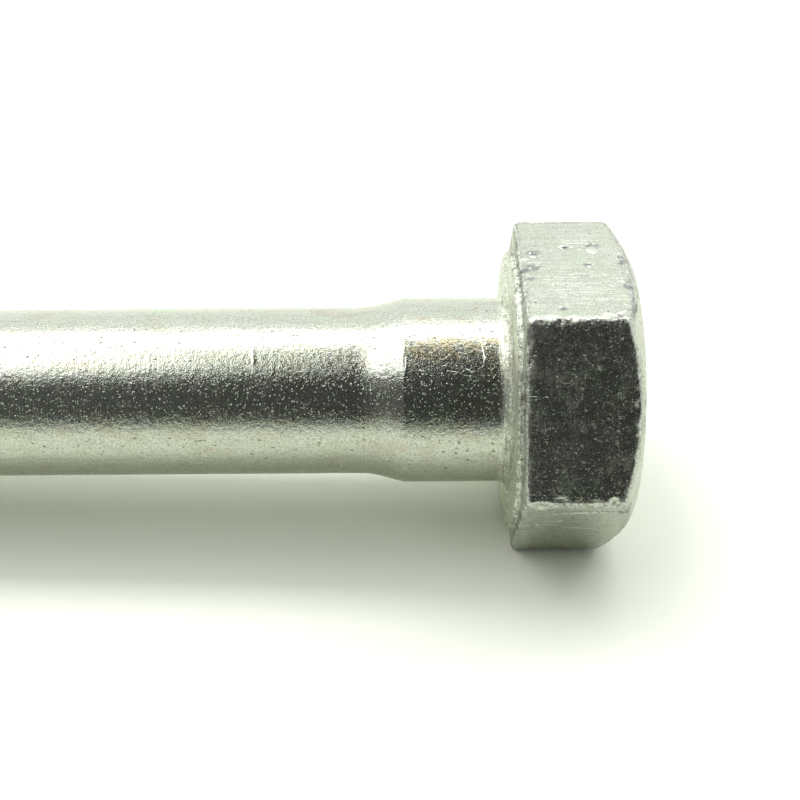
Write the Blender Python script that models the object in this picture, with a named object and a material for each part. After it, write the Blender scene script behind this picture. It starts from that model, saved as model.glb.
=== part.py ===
# Hex head bolt M12 x 120 with a partly threaded, reduced shank and a short full-diameter
# collar under the head, forged and rolled from one piece of steel.
#
# Frame, in metres: the bolt's axis is the X axis, +X points out of the head, and the
# origin is the centre of the head's top face. Two hexagon flats lie level, at +Z and -Z.

import math

import bmesh
import bpy

MM = 0.001

# Head
ACROSS_FLATS = 19.0 * MM
HEAD_HEIGHT = 7.5 * MM  # from the bearing face to the top, washer face included
TOP_DIAMETER = 17.6 * MM  # flat circle inside the top chamfer
CHAMFER_ANGLE = math.radians(30.0)
EDGE_ROUNDING = 0.3 * MM  # on the six upright edges
WASHER_FACE_DIAMETER = 18.0 * MM
WASHER_FACE_HEIGHT = 0.45 * MM

# Shank
LENGTH = 120.0 * MM  # from the bearing face to the end of the point
COLLAR_DIAMETER = 12.0 * MM
COLLAR_LENGTH = 6.7 * MM
FILLET_RADIUS = 0.65 * MM
SHANK_DIAMETER = 10.86 * MM  # the pitch diameter, as on a blank for a rolled thread
TAPER_ANGLE = math.radians(15.0)
TAPER_BLEND = 1.2 * MM  # length of the soft hollow where the taper meets the shank

# Thread
PITCH = 1.75 * MM
MAJOR_DIAMETER = 12.0 * MM
THREAD_LENGTH = 30.0 * MM
RUN_OUT = 2.0 * PITCH  # where the thread rises out of the plain shank
POINT_DIAMETER = 9.8 * MM
POINT_ANGLE = math.radians(45.0)

# Facets
COLUMNS = 36  # round the axis
FILLET_STEPS = 4
BLEND_STEPS = 3
CHAMFER_SEGMENTS = 72
MERGE_DISTANCE = 0.001 * MM
CUT_MARGIN = 1.0 * MM  # how far a blank stands past the cutter that trims it

STEEL = {"name": "zinc_plated_steel", "color": (0.72, 0.74, 0.69, 1.0), "roughness": 0.32, "metallic": 1.0}


def clear_scene():
    for obj in list(bpy.data.objects):
        bpy.data.objects.remove(obj, do_unlink=True)


def steel_material():
    material = bpy.data.materials.new(STEEL["name"])
    material.use_nodes = True
    shader = material.node_tree.nodes["Principled BSDF"]
    shader.inputs["Base Color"].default_value = STEEL["color"]
    shader.inputs["Roughness"].default_value = STEEL["roughness"]
    shader.inputs["Metallic"].default_value = STEEL["metallic"]
    return material


def add_object(name, bm):
    bmesh.ops.recalc_face_normals(bm, faces=bm.faces)
    mesh = bpy.data.meshes.new(name)
    bm.to_mesh(mesh)
    bm.free()
    obj = bpy.data.objects.new(name, mesh)
    bpy.context.collection.objects.link(obj)
    return obj


def as_cutter(obj):
    obj.hide_render = True
    obj.display_type = "WIRE"
    return obj


def on_axis(along, radius, angle):
    # A point at a distance along the shank from the bearing face, towards the bolt's point.
    return (-HEAD_HEIGHT - along, radius * math.cos(angle), radius * math.sin(angle))


def turned_profile():
    # (distance from the bearing face, radius) from inside the head to the thread's run-out.
    washer_radius = WASHER_FACE_DIAMETER / 2
    collar_radius = COLLAR_DIAMETER / 2
    shank_radius = SHANK_DIAMETER / 2
    profile = [(-HEAD_HEIGHT / 2, washer_radius), (0.0, washer_radius)]
    for step in range(FILLET_STEPS + 1):
        turn = math.pi / 2 * step / FILLET_STEPS
        along = FILLET_RADIUS * (1 - math.cos(turn))
        profile.append((along, collar_radius + FILLET_RADIUS * (1 - math.sin(turn))))
    profile.append((COLLAR_LENGTH, collar_radius))
    # A parabola that leaves the taper at its slope and meets the shank level.
    blend_drop = TAPER_BLEND * math.tan(TAPER_ANGLE) / 2
    straight = (collar_radius - shank_radius - blend_drop) / math.tan(TAPER_ANGLE)
    blend_start = COLLAR_LENGTH + straight
    for step in range(BLEND_STEPS + 1):
        part = step / BLEND_STEPS
        profile.append((blend_start + part * TAPER_BLEND, shank_radius + blend_drop * (1 - part) ** 2))
    return profile


def thread_radius(along, form_radius):
    # Radius of a crest or root line, faded into the shank at one end and cut by the point.
    shank_radius = SHANK_DIAMETER / 2
    rise = min(1.0, max(0.0, (along - (LENGTH - THREAD_LENGTH - RUN_OUT)) / RUN_OUT))
    radius = shank_radius + (form_radius - shank_radius) * rise
    point_cut = POINT_DIAMETER / 2 + (LENGTH - along) * math.tan(POINT_ANGLE)
    return min(radius, point_cut)


def thread_form():
    # (share of one pitch, radius) of the four edges of the 60 degree form: two at the
    # crest flat, an eighth of the pitch wide, and two at the root flat, a quarter wide.
    crest_radius = MAJOR_DIAMETER / 2
    root_radius = crest_radius - 5 / 8 * math.sqrt(3) / 2 * PITCH
    crest_flat = 1 / 8
    root_flat = 1 / 4
    flank = (1 - crest_flat - root_flat) / 2
    return [
        (0.0, crest_radius),
        (crest_flat, crest_radius),
        (crest_flat + flank, root_radius),
        (crest_flat + flank + root_flat, root_radius),
    ]


def thread_column(turn_share):
    # The thread's edges down one side of the bolt, at a share of a full turn round the axis.
    # Edges beyond the two ends fold onto the end rings, where they are merged away.
    start = LENGTH - THREAD_LENGTH - RUN_OUT
    turns = math.ceil((LENGTH - start) / PITCH) + 1
    column = [(start, SHANK_DIAMETER / 2)]
    for turn in range(-1, turns):
        for share, form_radius in thread_form():
            along = start + (turn + share + turn_share) * PITCH
            along = min(LENGTH, max(start, along))
            column.append((along, thread_radius(along, form_radius)))
    column.append((LENGTH, POINT_DIAMETER / 2))
    return column


def skin_columns(bm, columns):
    # Quads between neighbouring columns, which all have the same number of points.
    for left, right in zip(columns, columns[1:]):
        for row in range(len(left) - 1):
            bm.faces.new((left[row], left[row + 1], right[row + 1], right[row]))


def shank_blank(columns=COLUMNS):
    # The washer face, fillet, collar, taper, shank, thread and point as one closed body.
    bm = bmesh.new()
    grid = []
    for column in range(columns + 1):
        angle = 2 * math.pi * column / columns
        points = turned_profile() + thread_column(column / columns)
        grid.append([bm.verts.new(on_axis(along, radius, angle)) for along, radius in points])
    skin_columns(bm, grid)
    bmesh.ops.remove_doubles(bm, verts=bm.verts, dist=MERGE_DISTANCE)
    bmesh.ops.dissolve_degenerate(bm, dist=MERGE_DISTANCE, edges=bm.edges)
    rims = [edge for edge in bm.edges if edge.is_boundary]
    bmesh.ops.holes_fill(bm, edges=rims, sides=0)
    return add_object("shank_blank", bm)


def head_blank():
    # The hexagon, from its underside above the washer face to past the top, edges rounded.
    bm = bmesh.new()
    corner_radius = ACROSS_FLATS / 2 / math.cos(math.pi / 6)
    ring = []
    for corner in range(6):
        ring.append(bm.verts.new(on_axis(-WASHER_FACE_HEIGHT, corner_radius, math.pi / 3 * corner)))
    bm.faces.new(ring)
    side = bmesh.ops.extrude_face_region(bm, geom=list(bm.faces))
    raised = [item for item in side["geom"] if isinstance(item, bmesh.types.BMVert)]
    bmesh.ops.translate(bm, verts=raised, vec=(HEAD_HEIGHT - WASHER_FACE_HEIGHT + CUT_MARGIN, 0.0, 0.0))
    upright = [edge for edge in bm.edges if abs(edge.verts[0].co.x - edge.verts[1].co.x) > MERGE_DISTANCE]
    bmesh.ops.bevel(
        bm,
        geom=upright,
        offset=EDGE_ROUNDING * math.tan(math.pi / 6),
        segments=2,
        profile=0.5,
        affect="EDGES",
    )
    return add_object("hex_bolt", bm)


def chamfer_cone():
    # A cone whose slope is the top chamfer, and whose small end is the head's top face.
    bm = bmesh.new()
    depth = 2 * HEAD_HEIGHT
    top_radius = TOP_DIAMETER / 2
    bmesh.ops.create_cone(
        bm,
        cap_ends=True,
        segments=CHAMFER_SEGMENTS,
        radius1=top_radius + depth / math.tan(CHAMFER_ANGLE),
        radius2=top_radius,
        depth=depth,
    )
    # Turned by half a facet, so that no facet's edge meets a corner of the hexagon.
    half_facet = math.pi / CHAMFER_SEGMENTS
    for vert in bm.verts:
        radius = math.hypot(vert.co.x, vert.co.y)
        angle = math.atan2(vert.co.y, vert.co.x) + half_facet
        vert.co = (vert.co.z - depth / 2, radius * math.cos(angle), radius * math.sin(angle))
    return as_cutter(add_object("chamfer_cone", bm))


def add_boolean(obj, name, operation, other):
    modifier = obj.modifiers.new(name, "BOOLEAN")
    modifier.operation = operation
    modifier.solver = "EXACT"
    modifier.object = other


def hex_bolt():
    bolt = head_blank()
    add_boolean(bolt, "top_chamfer", "INTERSECT", chamfer_cone())
    add_boolean(bolt, "shank", "UNION", as_cutter(shank_blank()))
    bolt.data.materials.append(steel_material())
    bolt.data.shade_smooth()
    bolt.data.set_sharp_from_angle(angle=math.radians(25.0))
    return bolt


def main():
    clear_scene()
    hex_bolt()


main()
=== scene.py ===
import math

import bmesh
import bpy
import numpy as np
from mathutils import Matrix, Vector, noise


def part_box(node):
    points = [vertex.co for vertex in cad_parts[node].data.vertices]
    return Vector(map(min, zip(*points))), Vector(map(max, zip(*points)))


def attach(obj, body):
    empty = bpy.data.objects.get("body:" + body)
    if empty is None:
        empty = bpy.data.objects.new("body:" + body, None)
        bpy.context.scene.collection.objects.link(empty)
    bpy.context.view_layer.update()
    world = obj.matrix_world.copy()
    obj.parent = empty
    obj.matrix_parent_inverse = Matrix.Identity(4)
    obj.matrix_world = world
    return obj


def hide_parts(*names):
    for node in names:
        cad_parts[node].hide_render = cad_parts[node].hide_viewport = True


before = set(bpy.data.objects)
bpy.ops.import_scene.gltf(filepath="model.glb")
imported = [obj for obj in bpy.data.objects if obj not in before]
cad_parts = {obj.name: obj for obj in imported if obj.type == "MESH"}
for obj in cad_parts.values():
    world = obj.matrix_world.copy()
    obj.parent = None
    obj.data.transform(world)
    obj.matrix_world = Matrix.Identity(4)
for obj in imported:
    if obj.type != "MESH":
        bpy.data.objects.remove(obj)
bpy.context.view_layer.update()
mm = 0.001

# Places along the bolt are counted in millimetres from the bearing face: the head is
# at minus, the shank at plus. The outer sizes come from the frame.

boxLow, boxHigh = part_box("hex_bolt")

headShape = {
    "height": 7.5,
    "acrossFlats": (boxHigh.z - boxLow.z) / mm,
    "topRadius": 8.8,          # flat circle inside the chamfer
    "chamferAngle": 30,
    "washerRadius": 9.0,
    "washerHeight": 0.45,
    "rootHeight": 0.38,        # where the washer face's sloping rim meets the hexagon
    "rootSpread": 0.14,        # how much wider the washer face is there
    "ridgeRounding": 0.58,     # the six upright edges
    "chamferRounding": 0.45,
    "topRounding": 0.35,
    "undersideRounding": 0.32,
    "rootRounding": 0.05,
    "washerRounding": 0.14,
}
chamferSlope = math.tan(math.radians(headShape["chamferAngle"]))

shankShape = {
    "length": (boxHigh.x - boxLow.x) / mm - headShape["height"],
    "collarRadius": 6.0,
    "collarLength": 6.7,
    "fillet": 0.65,
    "shankRadius": 5.43,
    "taperAngle": 15,
    "collarRounding": 0.4,     # where the taper leaves the collar
    "taperRounding": 5.0,      # and where it runs into the shank
    "fineLength": 10.5,        # how far the fine mesh reaches down the shank
    "stitchLength": 0.3,       # between the fine and the coarse mesh
    "coarseRows": 16,
}

threadShape = {
    "pitch": 1.75,
    "crestFlat": 1 / 8,        # shares of the pitch
    "rootFlat": 1 / 4,
    "crestRadius": 5.99,
    "rootRadius": 5.0,
    "threadLength": 30.0,
    "runOut": 3.5,
    "pointRadius": 4.9,
    "pointAngle": 45,
    "rowsPerTurn": 12,
}

fineColumns = 480
coarseColumns = 80


def placeOf(along):
    # x in the frame, in metres, of a place counted from the bearing face
    return boxHigh.x - (headShape["height"] + along) * mm


def hexRadius(angle):
    # radius of the rounded hexagon; flats face +Z and -Z
    apothem = headShape["acrossFlats"] / 2
    rounding = headShape["ridgeRounding"]
    fromFlat = (angle + math.pi / 2 + math.pi / 6) % (math.pi / 3) - math.pi / 6
    straight = math.atan((apothem - rounding) * math.tan(math.pi / 6) / apothem)
    if abs(fromFlat) <= straight:
        return apothem / math.cos(fromFlat)
    centre = (apothem - rounding) / math.cos(math.pi / 6)
    offset = math.pi / 6 - abs(fromFlat)
    return centre * math.cos(offset) + math.sqrt(rounding ** 2 - (centre * math.sin(offset)) ** 2)


def cornerArc(before, corner, after, rounding, steps):
    # points of the arc that rounds one corner of a profile
    point = np.array(corner, float)
    back = np.array(before, float) - point
    ahead = np.array(after, float) - point
    back /= np.linalg.norm(back)
    ahead /= np.linalg.norm(ahead)
    half = math.acos(max(-1.0, min(1.0, float(back @ ahead)))) / 2
    reach = rounding / math.tan(half)
    middle = (back + ahead) / np.linalg.norm(back + ahead)
    centre = point + middle * rounding / math.sin(half)
    start = point + back * reach - centre
    end = point + ahead * reach - centre
    sweep = math.pi - 2 * half
    arc = []
    for step in range(steps + 1):
        share = step / steps
        a = math.sin((1 - share) * sweep) / math.sin(sweep)
        b = math.sin(share * sweep) / math.sin(sweep)
        arc.append(centre + start * a + end * b)
    return arc


def roundedPath(corners):
    # corners are (along, radius, rounding, arc steps, steps of the straight run before it)
    stretches = [[np.array(corners[0][:2], float)]]
    for before, corner, after in zip(corners, corners[1:], corners[2:]):
        stretches.append(cornerArc(before[:2], corner[:2], after[:2], corner[2], corner[3]))
    stretches.append([np.array(corners[-1][:2], float)])
    path = list(stretches[0])
    for stretch, corner in zip(stretches[1:], corners[1:]):
        start = path[-1]
        steps = corner[4]
        for step in range(1, steps):
            path.append(start + (stretch[0] - start) * step / steps)
        path.extend(stretch)
    return path


def fineProfile(angle):
    # one meridian from the centre of the head's top to the plain shank
    head = headShape
    shank = shankShape
    hexRim = hexRadius(angle)
    chamferEnd = -head["height"] + (hexRim - head["topRadius"]) * chamferSlope
    drop = shank["collarRadius"] - shank["shankRadius"]
    taperEnd = shank["collarLength"] + drop / math.tan(math.radians(shank["taperAngle"]))
    washerRoot = head["washerRadius"] + head["rootSpread"]
    underRounding = min(head["undersideRounding"], (hexRim - washerRoot) * 0.8)
    return roundedPath([
        (-head["height"], 0.0, 0.0, 0, 0),
        (-head["height"], head["topRadius"], head["topRounding"], 4, 12),
        (chamferEnd, hexRim, head["chamferRounding"], 4, 7),
        (-head["washerHeight"], hexRim, underRounding, 5, 46),
        (-head["rootHeight"], washerRoot, head["rootRounding"], 2, 2),
        (0.0, head["washerRadius"], head["washerRounding"], 4, 2),
        (0.0, shank["collarRadius"], shank["fillet"], 6, 12),
        (shank["collarLength"], shank["collarRadius"], shank["collarRounding"], 4, 10),
        (taperEnd, shank["shankRadius"], shank["taperRounding"], 6, 4),
        (shank["fineLength"], shank["shankRadius"], 0.0, 0, 3),
    ])


# Marks on the flats: "x" is measured down from the head's top, "across" from the middle
# of the flat, upwards on the side flats and to the back on the upper one, both in mm.

wearMarks = {
    "upper": [
        {"x": 4.13, "across": 2.18, "long": 0.30, "wide": 0.11, "depth": 0.12, "bow": 0.4},
        {"x": 2.48, "across": 2.05, "long": 0.50, "wide": 0.62, "depth": 0.055, "ring": 0.28},
        {"x": 2.89, "across": 0.18, "long": 0.26, "wide": 0.24, "depth": 0.030, "ring": 0.4},
        {"x": 6.21, "across": 1.31, "long": 0.34, "wide": 0.30, "depth": 0.045, "ring": 0.4},
        {"x": 4.94, "across": -4.38, "long": 0.34, "wide": 0.18, "depth": 0.040, "bow": -0.4},
        {"x": 1.77, "across": -5.00, "long": 0.50, "wide": 0.10, "depth": 0.07, "turn": -35},
        {"x": 0.95, "across": 0.69, "long": 0.30, "wide": 0.45, "depth": 0.07, "turn": 20},
        {"x": 1.00, "across": -1.97, "long": 0.30, "wide": 0.40, "depth": 0.06, "turn": -20},
        {"x": 6.55, "across": -0.15, "long": 0.35, "wide": 0.25, "depth": 0.05},
    ],
    "near": [
        {"x": 4.82, "across": 2.06, "long": 0.55, "wide": 0.42, "depth": 0.035, "ring": 0.35},
        {"x": 6.75, "across": 0.98, "long": 0.40, "wide": 0.14, "depth": 0.05},
        {"x": 4.26, "across": -2.37, "long": 0.22, "wide": 0.40, "depth": 0.04},
        {"x": 3.69, "across": -1.78, "long": 0.15, "wide": 0.45, "depth": 0.03},
        {"x": 5.90, "across": -4.85, "long": 0.60, "wide": 0.08, "depth": 0.020, "bow": -0.25},
        {"x": 1.90, "across": -4.70, "long": 0.60, "wide": 0.08, "depth": 0.014, "bow": -0.2},
    ],
    "lower": [
        {"x": 2.50, "across": 4.15, "long": 1.60, "wide": 0.13, "depth": 0.11, "turn": -3},
        {"x": 3.10, "across": 0.40, "long": 1.30, "wide": 0.08, "depth": 0.05, "turn": 8},
        {"x": 6.00, "across": 1.30, "long": 0.14, "wide": 0.12, "depth": 0.07},
        {"x": 0.95, "across": 3.90, "long": 0.20, "wide": 0.16, "depth": 0.08},
    ],
}

# places where the plating is scuffed dull: x, across, half length and half width in mm
scuffPatches = {
    "upper": [
        (6.30, 0.05, 0.34, 0.28), (6.80, -0.35, 0.34, 0.30), (6.60, -1.25, 0.42, 0.18),
        (6.20, 1.60, 0.34, 0.22), (4.95, -4.30, 0.34, 0.16), (4.13, 2.28, 0.30, 0.09),
        (2.95, 0.30, 0.24, 0.12), (2.45, 2.50, 0.45, 0.20), (0.85, -1.95, 0.26, 0.40),
        (0.80, 0.70, 0.30, 0.45), (0.55, -4.20, 0.35, 0.90),
    ],
    "near": [(6.6, 4.6, 0.6, 0.4)],
    "lower": [(0.95, 3.9, 0.35, 0.3), (2.4, 4.15, 1.7, 0.13)],
}

edgeWear = {
    "reach": 0.40,      # how far from an edge the wear spreads, mm
    "depth": 0.14,      # deepest nick, mm
    "nickSize": 0.55,
    "rimShare": 0.7,    # how worn the chamfer's and the underside's edges are, next to the ridges
    "topShare": 0.6,    # the same for the flat top
    "waves": 0.035,     # slow unevenness of the forged flats, mm
    "waveSize": 2.6,
    "ringWaves": 0.06,  # unevenness of the washer face's rim
    "scuffFray": 0.9,   # how ragged the outlines of the scuffs are
}

# the flats with marks, by the way they face in degrees from +Y
flatNames = {90: "upper", 150: "near", 210: "lower"}


def flatPlace(angle, radius):
    # the way the flat faces, the place across it and the distance to its nearest ridge
    turned = math.degrees(angle) % 360
    middle = round((turned - 30) / 60) * 60 + 30
    across = radius * math.sin(math.radians(middle - turned))
    halfWidth = headShape["acrossFlats"] / 2 * math.tan(math.pi / 6)
    return middle % 360, across, halfWidth - abs(across)


def markDistance(mark, x, across, margin=0.0):
    # distance from a mark's middle, 1 at its rim, with a margin in mm added round it
    turn = math.radians(mark.get("turn", 0))
    dx = x - mark["x"]
    dy = across - mark["across"]
    u = (dx * math.cos(turn) + dy * math.sin(turn)) / (mark["long"] + margin)
    v = (dy * math.cos(turn) - dx * math.sin(turn)) / (mark["wide"] + margin)
    v += mark.get("bow", 0) * u * u
    return math.hypot(u, v)


def markDepth(mark, x, across):
    # a ring-shaped dent or a plain one
    distance = markDistance(mark, x, across)
    if "ring" in mark:
        return mark["depth"] * math.exp(-((distance - 0.8) / mark["ring"]) ** 2 * 2.5)
    return mark["depth"] * math.exp(-distance ** 2)


def noiseAt(point, size, seed):
    # between about -1 and 1, with features of the given size in mm
    return noise.noise(Vector(point) / size + Vector((seed, seed * 1.7, -seed)))


def flatWear(name, x, across, point):
    # depth of the marks on one flat, and its share of scuff
    depth = sum(markDepth(mark, x, across) for mark in wearMarks[name])
    scuff = 0.0
    for middleX, middleAcross, halfLength, halfWidth in scuffPatches[name]:
        distance = math.hypot((x - middleX) / halfLength, (across - middleAcross) / halfWidth)
        distance += edgeWear["scuffFray"] * noiseAt(point, 0.30, 11)
        scuff = max(scuff, 1 / (1 + math.exp((distance - 1) * 6)))
    return depth, scuff


def wearAt(along, radius, angle):
    # inward wear in mm, with the two painted shares: bare edge and scuff
    if along > 0.02 or radius < 1.0:
        return 0.0, 0.0, 0.0
    wear = edgeWear
    washerTop = -headShape["washerHeight"]
    x = along + headShape["height"]
    point = (x, radius * math.cos(angle), radius * math.sin(angle))
    middle, across, toRidge = flatPlace(angle, radius)
    hexRim = hexRadius(angle)
    inset = hexRim - radius
    toChamfer = x - (hexRim - headShape["topRadius"]) * chamferSlope
    toUnder = along - washerTop
    ridge = math.exp(-(toRidge / wear["reach"]) ** 2) if inset < 0.3 else 0.0
    rim = math.exp(-(toChamfer / wear["reach"]) ** 2) if inset < 0.6 else 0.0
    under = math.exp(-(toUnder / wear["reach"]) ** 2) if inset < 0.5 else 0.0
    edge = max(ridge, wear["rimShare"] * rim, wear["rimShare"] * under)
    nick = max(0.0, noiseAt(point, wear["nickSize"], 3) + 0.15)
    fineNick = max(0.0, noiseAt(point, wear["nickSize"] * 0.4, 8))
    depth = edge * (0.02 + wear["depth"] * nick * nick * 2.2 + 0.05 * fineNick)
    depth += wear["waves"] * 0.5 * (1 + noiseAt(point, wear["waveSize"], 5))
    if toUnder > -0.3 and radius > 6.9:
        turned = (along * 5, point[1], point[2])
        depth += wear["ringWaves"] * max(0.0, noiseAt(turned, 0.9, 17) + 0.2)
    scuff = 0.0
    name = flatNames.get(middle)
    if name and inset < 0.6 and toUnder < 0.02:
        marks, scuff = flatWear(name, x, across, point)
        depth += marks
    if radius < headShape["topRadius"] and x < 0.15 + (radius - headShape["topRadius"]) * chamferSlope:
        depth *= wear["topShare"]
    return depth, edge, scuff


def nearMark(vert):
    # whether a point of the head lies in or beside one of the marks
    place = vert.co / mm
    radius = math.hypot(place.y, place.z)
    if radius < 8.0 or place.x < -headShape["height"]:
        return False
    middle, across, toRidge = flatPlace(math.atan2(place.z, place.y), radius)
    marks = wearMarks.get(flatNames.get(middle), [])
    return any(markDistance(mark, -place.x, across, 0.12) < 1.5 for mark in marks)


def fineMesh():
    # head, washer face, collar and taper: one grid of meridians, closed at the head's top,
    # with smaller faces round the marks
    columns = []
    for column in range(fineColumns):
        angle = 2 * math.pi * column / fineColumns
        columns.append([(placeOf(along), radius, angle) for along, radius in fineProfile(angle)])
    rows = len(columns[0])
    points = [(placeOf(-headShape["height"]), 0.0, 0.0)]
    for row in range(1, rows):
        for column in columns:
            x, radius, angle = column[row]
            points.append((x, radius * math.cos(angle) * mm, radius * math.sin(angle) * mm))
    faces = []
    for column in range(fineColumns):
        following = (column + 1) % fineColumns
        faces.append((0, 1 + column, 1 + following))
        for row in range(rows - 2):
            start = 1 + row * fineColumns
            end = start + fineColumns
            faces.append((start + column, end + column, end + following, start + following))
    mesh = bpy.data.meshes.new("headAndCollar")
    mesh.from_pydata(points, [], faces)
    bm = bmesh.new()
    bm.from_mesh(mesh)
    marked = {vert for vert in bm.verts if nearMark(vert)}
    rings = [edge for edge in bm.edges if edge.verts[0] in marked and edge.verts[1] in marked]
    bmesh.ops.subdivide_edges(bm, edges=rings, cuts=2, use_grid_fill=True)
    bmesh.ops.triangulate(bm, faces=[face for face in bm.faces if len(face.verts) > 4])
    edgeLayer = bm.verts.layers.float.new("edge")
    scuffLayer = bm.verts.layers.float.new("scuff")
    for vert in bm.verts:
        along = (placeOf(0) - vert.co.x) / mm
        radius = math.hypot(vert.co.y, vert.co.z) / mm
        angle = math.atan2(vert.co.z, vert.co.y)
        depth, vert[edgeLayer], vert[scuffLayer] = wearAt(along, radius, angle)
        if along + headShape["height"] < 0.02:
            vert.co.x -= depth * mm
        elif radius > 0:
            vert.co.yz *= (radius - depth) / radius
    bm.to_mesh(mesh)
    bm.free()
    print("head and collar:", len(mesh.polygons), "faces")
    return mesh


def calc(tree, operation, *values, clamp=False):
    # one Math node; values are numbers or sockets
    node = tree.nodes.new("ShaderNodeMath")
    node.operation = operation
    node.use_clamp = clamp
    for socket, value in zip(node.inputs, values):
        if isinstance(value, bpy.types.NodeSocket):
            tree.links.new(value, socket)
        else:
            socket.default_value = value
    return node.outputs[0]


def addNode(tree, kind, inputs=None, **settings):
    # any node, with its inputs as numbers or sockets
    node = tree.nodes.new(kind)
    for name, value in settings.items():
        setattr(node, name, value)
    for name, value in (inputs or {}).items():
        if isinstance(value, bpy.types.NodeSocket):
            tree.links.new(value, node.inputs[name])
        else:
            node.inputs[name].default_value = value
    return node


def product(tree, first, *others):
    for other in others:
        first = calc(tree, "MULTIPLY", first, other)
    return first


def combined(tree, x, y, z):
    return addNode(tree, "ShaderNodeCombineXYZ", {"X": x, "Y": y, "Z": z}).outputs[0]


def gridPlaces(tree, rows):
    # column and row of each point of a grid
    index = tree.nodes.new("GeometryNodeInputIndex").outputs[0]
    column = calc(tree, "FLOOR", calc(tree, "DIVIDE", calc(tree, "ADD", index, 0.5), rows))
    return column, calc(tree, "SUBTRACT", index, product(tree, column, rows))


def roundAxis(tree, x, radius, turnShare):
    angle = product(tree, turnShare, 2 * math.pi)
    y = product(tree, radius, calc(tree, "COSINE", angle))
    return combined(tree, x, y, product(tree, radius, calc(tree, "SINE", angle)))


def movedTo(tree, mesh, place):
    return addNode(tree, "GeometryNodeSetPosition", {"Geometry": mesh, "Position": place}).outputs[0]


def threadPart(tree, inputs):
    # a grid whose rows run along the thread's helix
    seamColumns = calc(tree, "ADD", inputs["Columns"], 1)
    grid = addNode(tree, "GeometryNodeMeshGrid", {"Vertices X": seamColumns, "Vertices Y": inputs["Rows"]})
    column, row = gridPlaces(tree, inputs["Rows"])
    turnShare = calc(tree, "DIVIDE", column, inputs["Columns"])
    turns = calc(tree, "DIVIDE", row, inputs["Rows per Turn"])
    helix = calc(tree, "SUBTRACT", calc(tree, "ADD", turns, turnShare), 1.0)
    along = product(tree, helix, inputs["Pitch"])
    along = calc(tree, "MINIMUM", calc(tree, "MAXIMUM", along, 0.0), inputs["Length"])

    # the 60 degree form, 0 on the root flat and 1 on the crest flat, both rounded
    ramp = product(tree, calc(tree, "FRACT", turns), 2.0)
    ramp = calc(tree, "ABSOLUTE", calc(tree, "SUBTRACT", ramp, 1.0))
    flanks = 1 - threadShape["crestFlat"] - threadShape["rootFlat"]
    form = calc(tree, "DIVIDE", calc(tree, "SUBTRACT", ramp, threadShape["rootFlat"]), flanks)
    form = calc(tree, "SMOOTH_MAX", form, 0.0, 0.22)
    form = calc(tree, "SMOOTH_MIN", form, 1.0, 0.16)
    depth = calc(tree, "SUBTRACT", inputs["Crest Radius"], inputs["Root Radius"])
    formRadius = calc(tree, "MULTIPLY_ADD", form, depth, inputs["Root Radius"])

    # the run-out at one end and the point at the other
    rise = calc(tree, "DIVIDE", along, inputs["Run Out"], clamp=True)
    rise = product(tree, product(tree, rise, rise), calc(tree, "SUBTRACT", 3.0, product(tree, rise, 2.0)))
    lift = calc(tree, "SUBTRACT", formRadius, inputs["Shank Radius"])
    radius = calc(tree, "MULTIPLY_ADD", lift, rise, inputs["Shank Radius"])
    fromEnd = calc(tree, "SUBTRACT", inputs["Length"], along)
    pointCut = calc(tree, "MULTIPLY_ADD", fromEnd, inputs["Point Slope"], inputs["Point Radius"])
    radius = calc(tree, "MINIMUM", radius, pointCut)
    x = calc(tree, "SUBTRACT", inputs["Shank End"], along)
    return movedTo(tree, grid.outputs["Mesh"], roundAxis(tree, x, radius, turnShare))


def plainPart(tree, inputs):
    # the plain shank above the thread
    seamColumns = calc(tree, "ADD", inputs["Columns"], 1)
    grid = addNode(tree, "GeometryNodeMeshGrid", {
        "Size X": 1.0, "Size Y": 1.0, "Vertices X": seamColumns, "Vertices Y": inputs["Shank Rows"]})
    column, row = gridPlaces(tree, inputs["Shank Rows"])
    share = calc(tree, "DIVIDE", row, calc(tree, "SUBTRACT", inputs["Shank Rows"], 1.0))
    span = calc(tree, "SUBTRACT", inputs["Start"], inputs["Shank End"])
    x = calc(tree, "SUBTRACT", inputs["Start"], product(tree, share, span))
    turnShare = calc(tree, "DIVIDE", column, inputs["Columns"])
    return movedTo(tree, grid.outputs["Mesh"], roundAxis(tree, x, inputs["Shank Radius"], turnShare))


def pointPart(tree, inputs):
    # the flat end, a disc turned to face along the bolt
    disc = addNode(tree, "GeometryNodeMeshCircle", {
        "Vertices": inputs["Columns"], "Radius": inputs["Point Radius"]}, fill_type="TRIANGLE_FAN")
    flat = addNode(tree, "ShaderNodeSeparateXYZ", {0: tree.nodes.new("GeometryNodeInputPosition").outputs[0]})
    x = calc(tree, "SUBTRACT", inputs["Shank End"], inputs["Length"])
    return movedTo(tree, disc.outputs["Mesh"], combined(tree, x, flat.outputs["X"], flat.outputs["Y"]))


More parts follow.
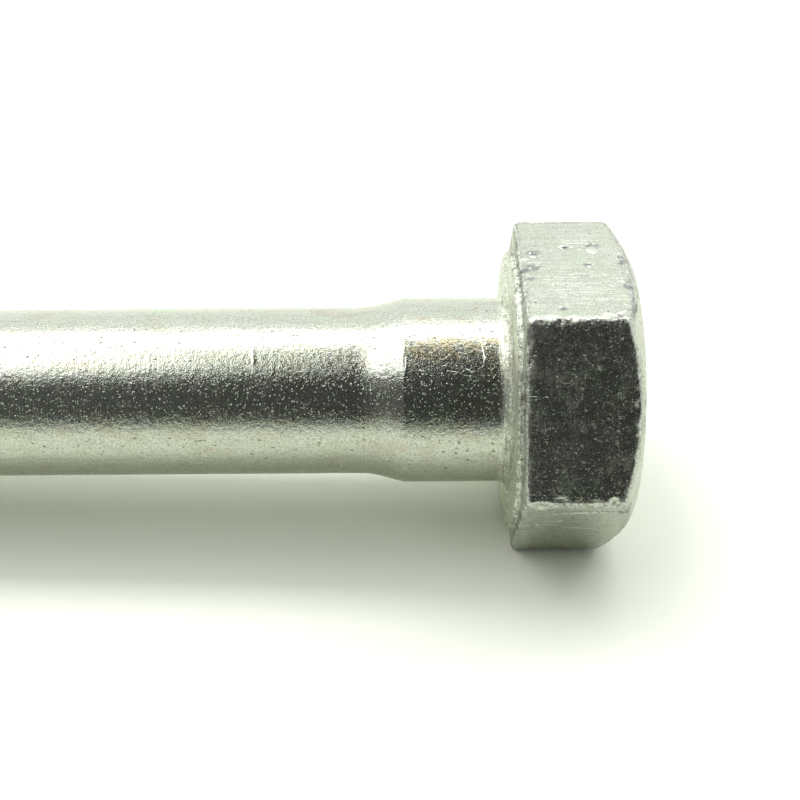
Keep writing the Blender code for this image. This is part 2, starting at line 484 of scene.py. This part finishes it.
def rolledThreadTree():
    # the plain shank, the rolled thread that rises out of it, and the point's flat end
    tree = bpy.data.node_groups.new("rolledThread", "GeometryNodeTree")
    tree.interface.new_socket("Geometry", in_out="INPUT", socket_type="NodeSocketGeometry")
    tree.interface.new_socket("Geometry", in_out="OUTPUT", socket_type="NodeSocketGeometry")
    for name in ("Start", "Shank End", "Length", "Pitch", "Crest Radius", "Root Radius",
                 "Shank Radius", "Run Out", "Point Radius", "Point Slope"):
        tree.interface.new_socket(name, in_out="INPUT", socket_type="NodeSocketFloat")
    for name in ("Columns", "Rows per Turn", "Rows", "Shank Rows"):
        tree.interface.new_socket(name, in_out="INPUT", socket_type="NodeSocketInt")
    tree.interface.new_socket("Material", in_out="INPUT", socket_type="NodeSocketMaterial")
    inputs = tree.nodes.new("NodeGroupInput").outputs
    output = tree.nodes.new("NodeGroupOutput")
    join = tree.nodes.new("GeometryNodeJoinGeometry")
    for part in (plainPart, threadPart, pointPart):
        tree.links.new(part(tree, inputs), join.inputs[0])
    merge = addNode(tree, "GeometryNodeMergeByDistance", {"Geometry": join.outputs[0], "Distance": 0.002 * mm})
    real = addNode(tree, "GeometryNodeRealizeInstances", {"Geometry": merge.outputs[0]})
    painted = addNode(tree, "GeometryNodeSetMaterial", {
        "Geometry": real.outputs[0], "Material": inputs["Material"]})
    tree.links.new(painted.outputs[0], output.inputs[0])
    return tree


def threadMesh(material):
    shape = threadShape
    shank = shankShape
    threadSpan = shape["threadLength"] + shape["runOut"]
    turns = math.ceil(threadSpan / shape["pitch"]) + 1
    values = {
        "Start": placeOf(shank["fineLength"] + shank["stitchLength"]),
        "Shank End": placeOf(shank["length"] - threadSpan),
        "Length": threadSpan * mm,
        "Pitch": shape["pitch"] * mm,
        "Crest Radius": shape["crestRadius"] * mm,
        "Root Radius": shape["rootRadius"] * mm,
        "Shank Radius": shank["shankRadius"] * mm,
        "Run Out": shape["runOut"] * mm,
        "Point Radius": shape["pointRadius"] * mm,
        "Point Slope": math.tan(math.radians(shape["pointAngle"])),
        "Columns": coarseColumns,
        "Rows per Turn": shape["rowsPerTurn"],
        "Rows": turns * shape["rowsPerTurn"] + 1,
        "Shank Rows": shank["coarseRows"],
        "Material": material,
    }
    tree = rolledThreadTree()
    holder = bpy.data.objects.new("threadMaker", bpy.data.meshes.new("threadMaker"))
    bpy.context.collection.objects.link(holder)
    modifier = holder.modifiers.new("rolledThread", "NODES")
    modifier.node_group = tree
    for item in tree.interface.items_tree:
        if item.in_out == "INPUT" and item.name in values:
            modifier[item.identifier] = values[item.name]
    evaluated = holder.evaluated_get(bpy.context.evaluated_depsgraph_get())
    mesh = bpy.data.meshes.new_from_object(evaluated)
    holder.modifiers.remove(modifier)
    bpy.data.objects.remove(holder)
    print("shank and thread:", len(mesh.polygons), "faces")
    return mesh


def rimLoop(bm, faces):
    # boundary vertices of these faces, in order of their angle round the axis
    found = set()
    for face in faces:
        for edge in face.edges:
            if edge.is_boundary:
                found.update(edge.verts)
    turn = 2 * math.pi
    tiny = 0.0001
    return sorted(found, key=lambda vert: (math.atan2(vert.co.z, vert.co.y) + tiny) % turn)


def joinedMesh(fine, coarse):
    # one closed body: the coarse shank is stitched to the fine collar, several to one
    bm = bmesh.new()
    bm.from_mesh(fine)
    fineFaces = list(bm.faces)
    bm.from_mesh(coarse)
    bm.faces.ensure_lookup_table()
    coarseFaces = bm.faces[len(fineFaces):]
    fineRim = rimLoop(bm, fineFaces)
    coarseRim = rimLoop(bm, coarseFaces)
    ratio = fineColumns // coarseColumns
    print("rims:", len(fineRim), len(coarseRim))
    for column in range(coarseColumns):
        here = coarseRim[column]
        there = coarseRim[(column + 1) % coarseColumns]
        fan = [fineRim[(column * ratio + step) % fineColumns] for step in range(ratio + 1)]
        for step in range(ratio):
            apex = here if step < ratio / 2 else there
            bm.faces.new((fan[step], fan[step + 1], apex))
        bm.faces.new((fan[ratio // 2], there, here))
    bmesh.ops.recalc_face_normals(bm, faces=bm.faces)
    for face in bm.faces:
        face.smooth = True
    mesh = bpy.data.meshes.new("hexBolt")
    bm.to_mesh(mesh)
    bm.free()
    return mesh


zincLook = {
    "color": (0.500, 0.524, 0.450),
    "greenTint": (0.478, 0.520, 0.418),
    "brownTint": (0.47, 0.46, 0.37),
    "amberReflectionTint": (0.465, 0.425, 0.29),    # painted reflection tint: a thin warm cast along one side of the collar and shank, where the reflection turns from dark to pale
    "oliveReflectionTint": (0.487, 0.510, 0.395),   # the underside: a painted reflection of the yellowish floor below
    "bareColor": (0.50, 0.52, 0.48),      # edges worn through to brighter metal
    "crustColor": (0.27, 0.27, 0.215),    # darker crust between the bare spots of an edge
    "scuffColor": (0.22, 0.225, 0.22),
    "grainShade": 0.30,       # how much the crystals lighten and darken the colour
    "pitShade": 0.38,
    "dirtAndCreaseShadeLevel": 0.52,       # how dark the dirt in the turned lines and the painted crease shade are
    "ringShade": 1.56,        # how much paler the washer face and fillet are
    "roughness": 0.10,
    "roughnessSpread": 0.15,  # between shiny and matt crystals
    "headRoughness": 0.035,   # this and the next four are added to the plain roughness
    "ringRoughness": 0.26,
    "scuffRoughness": 0.25,
    "bareRoughness": 0.12,
    "hazeRoughness": 0.07,    # cloudy matt patches, a few mm wide
    "grainSize": 0.080,       # mm, the crystals of the plating
    "grainDepth": 0.016,
    "rippleSize": 0.30,       # mm, the orange peel under them
    "rippleDepth": 0.020,
    "pipSize": 0.15,          # mm, scattered bright pips
    "pipDepth": 0.017,
    "pipRoughness": 0.30,
    "pitSize": 0.32,          # mm, small dark pits, drawn out along the shank
    "pitDepth": 0.020,
    "streakSize": 0.14,       # mm, drawn lines on the hexagon
    "streakDepth": 0.034,
    "shankStreaks": 0.12,     # their share of that depth on the shank
    "ringDepth": 0.085,       # turned lines on the washer face and in the fillet
    "chatterDepth": 0.0102,   # uneven patches on the washer face's rim
    "chamferLines": 0.030,    # turned lines on the top chamfer
}

# mm, the sizes of the plating's other patterns
patternSize = {
    "green": 2.4,
    "brown": 1.4,
    "amberReflection": 0.7,
    "chips": 0.25,    # bare spots on the edges
    "crust": 0.20,
    "scuff": 0.16,
    "lines": 0.13,    # turned lines
    "soil": 0.11,     # breaks in their dirt
    "blots": 0.26,
    "creaseShade": 1.1,
    "chatter": 0.24,
    "haze": 1.3,
    "drawn": 2.2,     # where the hexagon's drawn lines are strong
    "wobble": 1.3,    # bends in the die lines
    "broken": 0.9,    # gaps in the die lines
}

# where the regions of the plating fade in and out, in mm from the bearing face
regionEdges = {
    "head": (-0.5, 0.3),
    "ringTop": (-0.62, -0.42),
    "ringFoot": (0.3, 0.9),
    "collarTop": (0.5, 1.0),
    "collarEnd": (6.0, 6.7),
    "rim": (8.5, 8.9),         # from the axis
    "creaseShade": (8.7, 8.95),       # from the axis
    "chamfer": (0.10, 0.28),   # down from the chamfer's cone
}

# the same round the bolt, in degrees above the near horizon, for the two painted reflection tints
amberReflectionBand = {"fadesIn": (52, 60), "fadesOut": (68, 77)}
oliveReflectionBand = (-34, -4)

# how much of these values of the look the head gets
headShare = {"grainShade": 0.45, "grainDepth": 0.5, "pipDepth": 0.5, "hazeRoughness": 2.1}

# raised lines left round the shank by the dies: distance from the bearing face, width and
# height in mm, and the angles above the near horizon between which a line is strongest
dieLines = [
    (15.85, 0.10, 0.020, 53, 67),
    (1.80, 0.10, 0.028, 57, 78),
    (6.62, 0.07, 0.020, 30, 64),
    (22.3, 0.12, 0.010, -60, 60),
]

# scratches: distance from the bearing face, angle above the near horizon, length and tilt
scratches = [
    (3.70, 50, 0.8, 8),
    (2.65, 50.5, 0.5, 24),
    (2.85, 47.5, 0.6, 6),
    (16.9, 79, 0.7, 3),
    (13.4, 78, 0.6, -4),
    (19.3, 5, 0.8, -3),
]
scratchWidth = 0.035
scratchDepth = 0.018


def noiseNode(tree, vector, size, detail=2.0, roughness=0.5, seed=0.0):
    # noise with features of the given size in mm; the vector is in mm
    shift = (seed, seed * 1.3, -seed)
    moved = addNode(tree, "ShaderNodeVectorMath", {0: vector, 1: shift}, operation="ADD")
    return addNode(tree, "ShaderNodeTexNoise", {
        "Vector": moved.outputs[0], "Scale": 1.0 / size, "Detail": detail, "Roughness": roughness}).outputs[0]


def rangeOf(tree, value, low, high, toLow=0.0, toHigh=1.0):
    # a soft step from one value to another
    inputs = {"Value": value, "From Min": low, "From Max": high, "To Min": toLow, "To Max": toHigh}
    return addNode(tree, "ShaderNodeMapRange", inputs, interpolation_type="SMOOTHSTEP").outputs[0]


def patches(tree, vector, size, low, high, toLow=0.0, toHigh=1.0, **noiseSettings):
    # noise cut into soft-edged patches
    return rangeOf(tree, noiseNode(tree, vector, size, **noiseSettings), low, high, toLow, toHigh)


def layered(tree, base, layers, clamp=False):
    # the base with each layer's amount times its weight added
    for amount, weight in layers:
        base = calc(tree, "MULTIPLY_ADD", amount, weight, base, clamp=clamp)
    return base


def bell(tree, value, width):
    # 1 where the value is 0, falling off over the width
    share = calc(tree, "DIVIDE", value, width)
    return calc(tree, "EXPONENT", product(tree, share, share, -1.0))


def mixColor(tree, share, first, second):
    # from the first colour to the second; each is a tuple or a socket
    node = tree.nodes.new("ShaderNodeMix")
    node.data_type = "RGBA"
    for socket, value in zip((node.inputs[0], node.inputs[6], node.inputs[7]), (share, first, second)):
        if isinstance(value, bpy.types.NodeSocket):
            tree.links.new(value, socket)
        elif isinstance(value, tuple):
            socket.default_value = (*value, 1.0)
        else:
            socket.default_value = value
    return node.outputs[2]


def scaled(tree, vector, factor):
    return addNode(tree, "ShaderNodeVectorMath", {0: vector, 3: factor}, operation="SCALE").outputs[0]


def stretched(tree, point, x):
    # the point with its distances along the bolt changed
    return addNode(tree, "ShaderNodeVectorMath", {0: point, 1: (x, 1.0, 1.0)}, operation="MULTIPLY").outputs[0]


def objectPoint(tree):
    # the surface point in mm
    return scaled(tree, tree.nodes.new("ShaderNodeTexCoord").outputs["Object"], 1 / mm)


def heightAngle(tree, y, z):
    # degrees up from the near horizon, round the bolt's axis
    return product(tree, calc(tree, "ARCTAN2", z, product(tree, y, -1.0)), 180 / math.pi)


def scattered(tree, vector, size, share, inner, outer):
    # round spots in a share of the cells of a grid of the given size; 1 in a spot's middle
    cells = addNode(tree, "ShaderNodeTexVoronoi", {"Vector": vector, "Scale": 1 / size, "Randomness": 1.0})
    spot = rangeOf(tree, cells.outputs["Distance"], inner, outer, 1.0, 0.0)
    pick = addNode(tree, "ShaderNodeSeparateColor", {0: cells.outputs["Color"]}).outputs[0]
    return product(tree, spot, rangeOf(tree, pick, 1 - share, 1 - share + 0.12))


def boltPlaces(tree):
    # where a point of the bolt is, in mm and degrees, and which of its regions it is in
    point = objectPoint(tree)
    parts = addNode(tree, "ShaderNodeSeparateXYZ", {0: point}).outputs
    y, z = parts["Y"], parts["Z"]
    along = calc(tree, "SUBTRACT", placeOf(0) / mm, parts["X"])
    radius = calc(tree, "SQRT", calc(tree, "ADD", product(tree, y, y), product(tree, z, z)))
    coneRise = calc(tree, "MULTIPLY_ADD", radius, -chamferSlope, along)
    coneFoot = -headShape["height"] - headShape["topRadius"] * chamferSlope
    ringTop = rangeOf(tree, along, *regionEdges["ringTop"])
    nearRing = product(tree, ringTop, rangeOf(tree, along, *regionEdges["ringFoot"], 1.0, 0.0))
    coneTop, coneBase = regionEdges["chamfer"]
    return {
        "point": point, "x": parts["X"], "y": y, "z": z,
        "along": along,
        "radius": radius,
        "height": heightAngle(tree, y, z),
        "onHead": rangeOf(tree, along, *regionEdges["head"], 1.0, 0.0),
        "nearRing": nearRing,  # the washer face and fillet
        "onRim": product(tree, nearRing, rangeOf(tree, radius, *regionEdges["rim"])),
        "onChamfer": rangeOf(tree, coneRise, coneFoot + coneTop, coneFoot + coneBase, 1.0, 0.0),
    }


def headBlend(tree, place, name):
    # a value of the look on the shank, and its head's share on the head
    value = zincLook[name]
    return rangeOf(tree, place["onHead"], 0.0, 1.0, value, value * headShare[name])


def platingPatterns(tree, place):
    # the patterns that the relief, colour and roughness share
    look = zincLook
    size = patternSize
    point = place["point"]
    ragged = addNode(tree, "ShaderNodeTexNoise", {"Vector": point, "Scale": 7.0, "Detail": 1.0})
    uneven = addNode(tree, "ShaderNodeVectorMath", {
        0: ragged.outputs["Color"], 1: (0.22, 0.22, 0.22), 2: point}, operation="MULTIPLY_ADD").outputs[0]
    twist = calc(tree, "MULTIPLY_ADD", place["z"], 0.14, product(tree, place["y"], 0.09))
    turned = combined(tree, place["x"], place["radius"], twist)
    rim = combined(
        tree,
        calc(tree, "MULTIPLY_ADD", place["radius"], 0.3, product(tree, place["along"], 0.6)),
        product(tree, calc(tree, "DIVIDE", place["y"], place["radius"]), 6.0),
        product(tree, calc(tree, "DIVIDE", place["z"], place["radius"]), 6.0),
    )
    return {
        "grain": noiseNode(tree, point, look["grainSize"], roughness=0.6),
        "ripple": noiseNode(tree, point, look["rippleSize"], detail=1.0, seed=4.0),
        "pip": scattered(tree, uneven, look["pipSize"], 0.55, 0.06, 0.36),
        "pit": scattered(tree, stretched(tree, uneven, 0.45), look["pitSize"], 0.45, 0.06, 0.22),
        "streak": noiseNode(tree, stretched(tree, point, 0.05), look["streakSize"], roughness=0.6, seed=9.0),
        "lines": noiseNode(tree, turned, size["lines"], detail=3.0, roughness=0.7, seed=17.0),
        "chatter": noiseNode(tree, rim, size["chatter"], detail=5.0, roughness=0.75, seed=101.0),
    }


def wornPlaces(tree, point):
    # bare metal and crust on the edges, and dull scuffs, where the mesh says they are
    edge = addNode(tree, "ShaderNodeAttribute", attribute_name="edge").outputs["Fac"]
    scuff = addNode(tree, "ShaderNodeAttribute", attribute_name="scuff").outputs["Fac"]
    worn = rangeOf(tree, edge, 0.22, 0.75)
    size = patternSize
    return {
        "bare": product(tree, worn, patches(tree, point, size["chips"], 0.38, 0.52, seed=27.0)),
        "crust": product(tree, worn, patches(tree, point, size["crust"], 0.47, 0.57, roughness=0.6, seed=83.0)),
        "dull": product(tree, scuff, patches(tree, point, size["scuff"], 0.28, 0.46, seed=31.0)),
    }


def dieLineLayers(tree, place, bent):
    # raised lines, slightly bent and broken
    broken = patches(tree, place["point"], patternSize["broken"], 0.34, 0.50, 0.25, 1.0, seed=43.0)
    fade = 6  # degrees
    layers = []
    for middle, width, height, lowest, highest in dieLines:
        line = bell(tree, calc(tree, "SUBTRACT", bent, middle), width)
        risen = rangeOf(tree, place["height"], lowest - fade, lowest, 0.1, 1.0)
        fallen = rangeOf(tree, place["height"], highest, highest + fade, 1.0, 0.1)
        layers.append((product(tree, line, broken, product(tree, risen, fallen)), height))
    return layers


def scratchLayers(tree, place, bent):
    # short grooves at a slight tilt
    perDegree = shankShape["shankRadius"] * math.pi / 180
    layers = []
    for middle, angle, length, tilt in scratches:
        lean = math.radians(tilt)
        ahead = calc(tree, "SUBTRACT", bent, middle)
        above = product(tree, calc(tree, "SUBTRACT", place["height"], angle), perDegree)
        off = calc(tree, "MULTIPLY_ADD", ahead, -math.sin(lean), product(tree, above, math.cos(lean)))
        ends = rangeOf(tree, calc(tree, "ABSOLUTE", ahead), length * 0.35, length * 0.5, 1.0, 0.0)
        layers.append((product(tree, bell(tree, off, scratchWidth), ends), -scratchDepth))
    return layers


def platingRelief(tree, place, pattern):
    # all the relief too fine for the mesh, in mm, as one bump
    look = zincLook
    point = place["point"]
    drawn = patches(tree, stretched(tree, point, 0.4), patternSize["drawn"], 0.36, 0.62, 0.25, 1.0,
                    detail=1.0, seed=61.0)
    shankDepth = look["streakDepth"] * look["shankStreaks"]
    streakDepth = rangeOf(tree, place["onHead"], 0.0, 1.0, shankDepth, look["streakDepth"])
    wobble = calc(tree, "SUBTRACT", noiseNode(tree, point, patternSize["wobble"], seed=41.0), 0.5)
    bent = calc(tree, "MULTIPLY_ADD", wobble, 0.5, place["along"])
    relief = layered(tree, product(tree, pattern["grain"], headBlend(tree, place, "grainDepth")), [
        (pattern["ripple"], look["rippleDepth"]),
        (pattern["pip"], headBlend(tree, place, "pipDepth")),
        (pattern["pit"], -look["pitDepth"]),
        (pattern["streak"], product(tree, streakDepth, drawn)),
        (product(tree, pattern["lines"], place["nearRing"]), look["ringDepth"]),
        (product(tree, pattern["chatter"], place["onRim"]), look["chatterDepth"]),
        (product(tree, pattern["lines"], place["onChamfer"]), look["chamferLines"]),
        *dieLineLayers(tree, place, bent),
        *scratchLayers(tree, place, bent),
    ])
    return addNode(tree, "ShaderNodeBump", {"Height": relief, "Distance": mm, "Strength": 1.0}).outputs[0]


def dirtAndCreaseShadeShare(tree, place, lines):
    # dirt in the turned lines and in blots on the washer face, and painted shade: a dark line in the crease
    # where the washer face meets the hexagon
    point, nearRing = place["point"], place["nearRing"]
    size = patternSize
    soil = patches(tree, point, size["soil"], 0.38, 0.45, detail=1.0, seed=71.0)
    soil = calc(tree, "MINIMUM", rangeOf(tree, lines, 0.40, 0.54), soil)
    dirtAndCreaseShade = product(tree, nearRing, calc(tree, "SUBTRACT", 1.0, soil))
    blots = patches(tree, point, size["blots"], 0.50, 0.60, detail=4.0, roughness=0.75, seed=111.0)
    blots = product(tree, nearRing, blots)
    # painted shade: a dark line in the crease between the washer face and the hexagon, varying in strength
    # along it
    creaseShade = bell(tree, calc(tree, "ADD", place["along"], headShape["rootHeight"]), 0.08)
    creaseShade = product(tree, creaseShade, rangeOf(tree, place["radius"], *regionEdges["creaseShade"]),
                   patches(tree, point, size["creaseShade"], 0.42, 0.54, 0.5, 1.6, detail=3.0, seed=121.0))
    chamfer = product(tree, place["onChamfer"], rangeOf(tree, lines, 0.38, 0.50, 0.45, 0.0))
    for other in (blots, creaseShade, chamfer):
        dirtAndCreaseShade = calc(tree, "MAXIMUM", dirtAndCreaseShade, other)
    return dirtAndCreaseShade


def platingShade(tree, place, pattern):
    # how light or dark the colour is
    look = zincLook
    contrast = product(tree, headBlend(tree, place, "grainShade"), 4.5)
    dirtAndCreaseShade = dirtAndCreaseShadeShare(tree, place, pattern["lines"])
    mottled = rangeOf(tree, pattern["chatter"], 0.40, 0.56, 0.62, 1.12)
    return product(
        tree,
        calc(tree, "MULTIPLY_ADD", calc(tree, "SUBTRACT", pattern["grain"], 0.52), contrast, 1.0),
        rangeOf(tree, pattern["pit"], 0.0, 1.0, 1.0, look["pitShade"]),
        rangeOf(tree, pattern["streak"], 0.35, 0.6, 0.93, 1.03),
        # darkened by the dirt and by the painted crease shade
        rangeOf(tree, dirtAndCreaseShade, 0.0, 1.0, 1.0, look["dirtAndCreaseShadeLevel"]),
        addNode(tree, "ShaderNodeMix", {0: place["onRim"], 2: 1.0, 3: mottled}).outputs[0],
        rangeOf(tree, place["nearRing"], 0.0, 1.0, 1.0, look["ringShade"]),
    )


def platingColor(tree, place, pattern, wear):
    # greenish and brownish casts of the plating, a painted warm reflection tint, a painted olive floor
    # reflection on the underside, worn edges and scuffs
    look = zincLook
    size = patternSize
    point, along, height = place["point"], place["along"], place["height"]
    green = patches(tree, point, size["green"], 0.42, 0.68, seed=14.0)
    brown = patches(tree, stretched(tree, point, 0.5), size["brown"], 0.54, 0.66, detail=3.0, seed=21.0)
    brown = product(tree, brown, calc(tree, "SUBTRACT", 0.8, product(tree, place["onHead"], 0.45)))
    # painted reflection tint: warm patches in the band of angles where the plating's reflection turns from the
    # dark near side to the pale room
    amberReflection = product(
        tree,
        rangeOf(tree, height, *amberReflectionBand["fadesIn"]),
        rangeOf(tree, height, *amberReflectionBand["fadesOut"], 1.0, 0.0),
        rangeOf(tree, along, *regionEdges["collarEnd"], 1.0, 0.3),  # weaker past the collar
        rangeOf(tree, along, *regionEdges["collarTop"]),
        patches(tree, point, size["amberReflection"], 0.40, 0.58, detail=3.0, roughness=0.7, seed=97.0),
    )
    color = mixColor(tree, product(tree, green, 0.8), look["color"], look["greenTint"])
    for share, tint in (
        (brown, "brownTint"),
        (amberReflection, "amberReflectionTint"),
        # painted reflection: the underside tinted like the floor it reflects
        (rangeOf(tree, height, *oliveReflectionBand, 0.75, 0.0), "oliveReflectionTint"),
        (wear["bare"], "bareColor"),
        (product(tree, wear["crust"], 0.85), "crustColor"),
        (wear["dull"], "scuffColor"),
    ):
        color = mixColor(tree, share, color, look[tint])
    return scaled(tree, color, platingShade(tree, place, pattern))


def platingRoughness(tree, place, pattern, wear):
    # shiny and matt crystals, with haze, pips, scuffs and worn edges on top
    look = zincLook
    point = place["point"]
    crystals = noiseNode(tree, point, look["grainSize"] * 1.2, detail=1.0, seed=51.0)
    matt = look["roughness"] + look["roughnessSpread"]
    haze = patches(tree, point, patternSize["haze"], 0.40, 0.66, detail=5.0, roughness=0.75, seed=91.0)
    return layered(tree, rangeOf(tree, crystals, 0.38, 0.66, look["roughness"], matt), [
        (place["onHead"], look["headRoughness"]),
        (haze, headBlend(tree, place, "hazeRoughness")),
        (pattern["pip"], look["pipRoughness"]),
        (wear["dull"], look["scuffRoughness"]),
        (place["nearRing"], look["ringRoughness"]),
        (wear["bare"], look["bareRoughness"]),
    ], clamp=True)


def zincPlate():
    material = bpy.data.materials.new("zincPlate")
    material.use_nodes = True
    tree = material.node_tree
    shader = tree.nodes["Principled BSDF"]
    place = boltPlaces(tree)
    pattern = platingPatterns(tree, place)
    wear = wornPlaces(tree, place["point"])
    shader.inputs["Metallic"].default_value = 1.0
    tree.links.new(platingColor(tree, place, pattern, wear), shader.inputs["Base Color"])
    tree.links.new(platingRoughness(tree, place, pattern, wear), shader.inputs["Roughness"])
    tree.links.new(platingRelief(tree, place, pattern), shader.inputs["Normal"])
    print("plating:", len(tree.nodes), "nodes")
    return material


floorLook = {
    "color": (0.96, 0.99, 0.885),
    "cloudShade": 0.985,  # how dark the faint clouds in it are
    "cloudSize": 9.0,     # mm
    "roughness": 0.6,
    "specular": 0.2,
    "size": 3.0,          # m
    "nearEdge": 0.052,
    "leftEdge": 0.30,
}

lightRig = {
    "distance": 0.6,
    "overhead": {"angle": 115.5, "spread": 23, "x": 0.0, "length": 1.4, "radiance": 3.6},
    "left": {"angle": 84, "spread": 42, "x": -0.29, "length": 0.28, "radiance": 3.2},
    "back": 1.38,        # brightness of the pale room behind and overhead
    "leftSide": 0.85,    # the same to the left and to the right
    "rightSide": 1.30,
    "dark": 0.055,       # the near side, where nothing stands
    "darkLeft": 0.15,    # the same towards the left
    "fadeFrom": 80,      # degrees up from the near horizon where the room turns pale
    "fadeTo": 120,
    "darkRange": (-0.5, 0.1),     # the share of leftness to rightness over which the dark deepens
    "leftRange": (-0.95, -0.7),   # and over which the two sides fade
    "rightRange": (0.6, 0.9),
    "tone": (0.98, 1.0, 0.99),
    "seenStrength": 1.2,          # how bright the camera sees the room
}

cameraView = {
    "elevation": 39.53,
    "distance": 78.66,
    "along": 6.90,       # how far down the shank the camera stands, from the bearing face
    "aimBelow": 0.66,
    "roll": 0.40,
    "lens": 54,
}


def floorPlane():
    # the bolt lies on its head's lower rim and on the thread's last full crest
    headRim = Vector((placeOf(-headShape["washerHeight"]), 0, boxLow.z))
    crestEnd = shankShape["length"] - (threadShape["crestRadius"] - threadShape["pointRadius"])
    tip = Vector((placeOf(crestEnd), 0, -threadShape["crestRadius"] * mm))
    slope = (headRim.z - tip.z) / (headRim.x - tip.x)
    half = floorLook["size"] / 2
    near = -floorLook["nearEdge"]
    corners = [(-half, -floorLook["leftEdge"]), (0, near), (half, near), (half, half), (-half, half)]
    corners = [(x, y, headRim.z + (x - headRim.x) * slope) for x, y in corners]
    mesh = bpy.data.meshes.new("floor")
    mesh.from_pydata(corners, [], [(0, 1, 2, 3, 4)])
    floor = bpy.data.objects.new("floor", mesh)
    bpy.context.collection.objects.link(floor)
    material = bpy.data.materials.new("paleTable")
    material.use_nodes = True
    tree = material.node_tree
    shader = tree.nodes["Principled BSDF"]
    cloud = noiseNode(tree, objectPoint(tree), floorLook["cloudSize"], detail=3.0)
    shaded = tuple(part * floorLook["cloudShade"] for part in floorLook["color"])
    tree.links.new(mixColor(tree, cloud, floorLook["color"], shaded), shader.inputs["Base Color"])
    shader.inputs["Roughness"].default_value = floorLook["roughness"]
    shader.inputs["Specular IOR Level"].default_value = floorLook["specular"]
    floor.data.materials.append(material)
    print("floor placed")


def areaLight(name, centre, sizeX, sizeY, radiance):
    # a soft box that faces the bolt; radiance sets how bright it looks from there
    data = bpy.data.lights.new(name, "AREA")
    data.shape = "RECTANGLE"
    data.size = sizeX
    data.size_y = sizeY
    data.energy = radiance * sizeX * sizeY * 4  # a lamp's watts for this radiance
    light = bpy.data.objects.new(name, data)
    light.location = centre
    ahead = -Vector(centre).normalized()
    sideways = Vector((1, 0, 0))
    up = ahead.cross(sideways).normalized()
    sideways = up.cross(ahead).normalized()
    turn = Matrix((sideways, up, -ahead)).transposed()
    light.rotation_euler = turn.to_euler()
    bpy.context.collection.objects.link(light)


def placeLights():
    reach = lightRig["distance"]
    for name in ("overhead", "left"):
        box = lightRig[name]
        angle = math.radians(box["angle"])
        width = 2 * reach * math.tan(math.radians(box["spread"] / 2))
        centre = (box["x"], -reach * math.cos(angle), reach * math.sin(angle))
        areaLight(name + "Softbox", centre, box["length"], width, box["radiance"])
    bpy.context.scene.view_settings.view_transform = "Standard"
    print("lights placed")


def studioRoom():
    # dark on the near side, pale behind and beside; the camera sees it pale all round
    rig = lightRig
    world = bpy.data.worlds.new("studioRoom")
    bpy.context.scene.world = world
    world.use_nodes = True
    tree = world.node_tree
    background = tree.nodes["Background"]
    direction = tree.nodes.new("ShaderNodeTexCoord").outputs["Generated"]
    parts = addNode(tree, "ShaderNodeSeparateXYZ", {0: direction}).outputs
    height = heightAngle(tree, parts["Y"], parts["Z"])
    dark = rangeOf(tree, parts["X"], *rig["darkRange"], rig["darkLeft"], rig["dark"])
    behind = rangeOf(tree, height, rig["fadeFrom"], rig["fadeTo"], dark, rig["back"])
    seen = tree.nodes.new("ShaderNodeLightPath").outputs["Is Camera Ray"]
    strength = product(tree, seen, rig["seenStrength"])
    for other in (
        behind,
        rangeOf(tree, parts["X"], *rig["rightRange"], 0.0, rig["rightSide"]),
        rangeOf(tree, parts["X"], *rig["leftRange"], rig["leftSide"], 0.0),
    ):
        strength = calc(tree, "MAXIMUM", strength, other)
    background.inputs["Color"].default_value = (*rig["tone"], 1.0)
    tree.links.new(strength, background.inputs["Strength"])
    print("room made")


def placeCamera():
    view = cameraView
    tilt = math.radians(view["elevation"])
    roll = math.radians(view["roll"])
    ahead = Vector((0, math.cos(tilt), -math.sin(tilt)))
    level = Vector((1, 0, 0))
    above = level.cross(ahead)
    right = level * math.cos(roll) - above * math.sin(roll)
    up = level * math.sin(roll) + above * math.cos(roll)
    aim = Vector((placeOf(view["along"]), 0, 0)) - above * view["aimBelow"] * mm
    data = bpy.data.cameras.new("camera")
    data.sensor_width = 36
    data.lens = view["lens"]
    data.clip_start = 0.005
    data.clip_end = 20
    camera = bpy.data.objects.new("camera", data)
    camera.location = aim - ahead * view["distance"] * mm
    camera.rotation_euler = Matrix((right, up, -ahead)).transposed().to_euler()
    bpy.context.collection.objects.link(camera)
    bpy.context.scene.camera = camera
    print("camera placed")


def buildBolt():
    material = zincPlate()
    mesh = joinedMesh(fineMesh(), threadMesh(material))
    mesh.materials.clear()
    mesh.materials.append(material)
    bolt = bpy.data.objects.new("hexBolt", mesh)
    bpy.context.collection.objects.link(bolt)
    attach(bolt, "root")
    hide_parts("hex_bolt")
    print("bolt:", len(mesh.polygons), "faces")


placeCamera()
placeLights()
studioRoom()
floorPlane()
buildBolt()
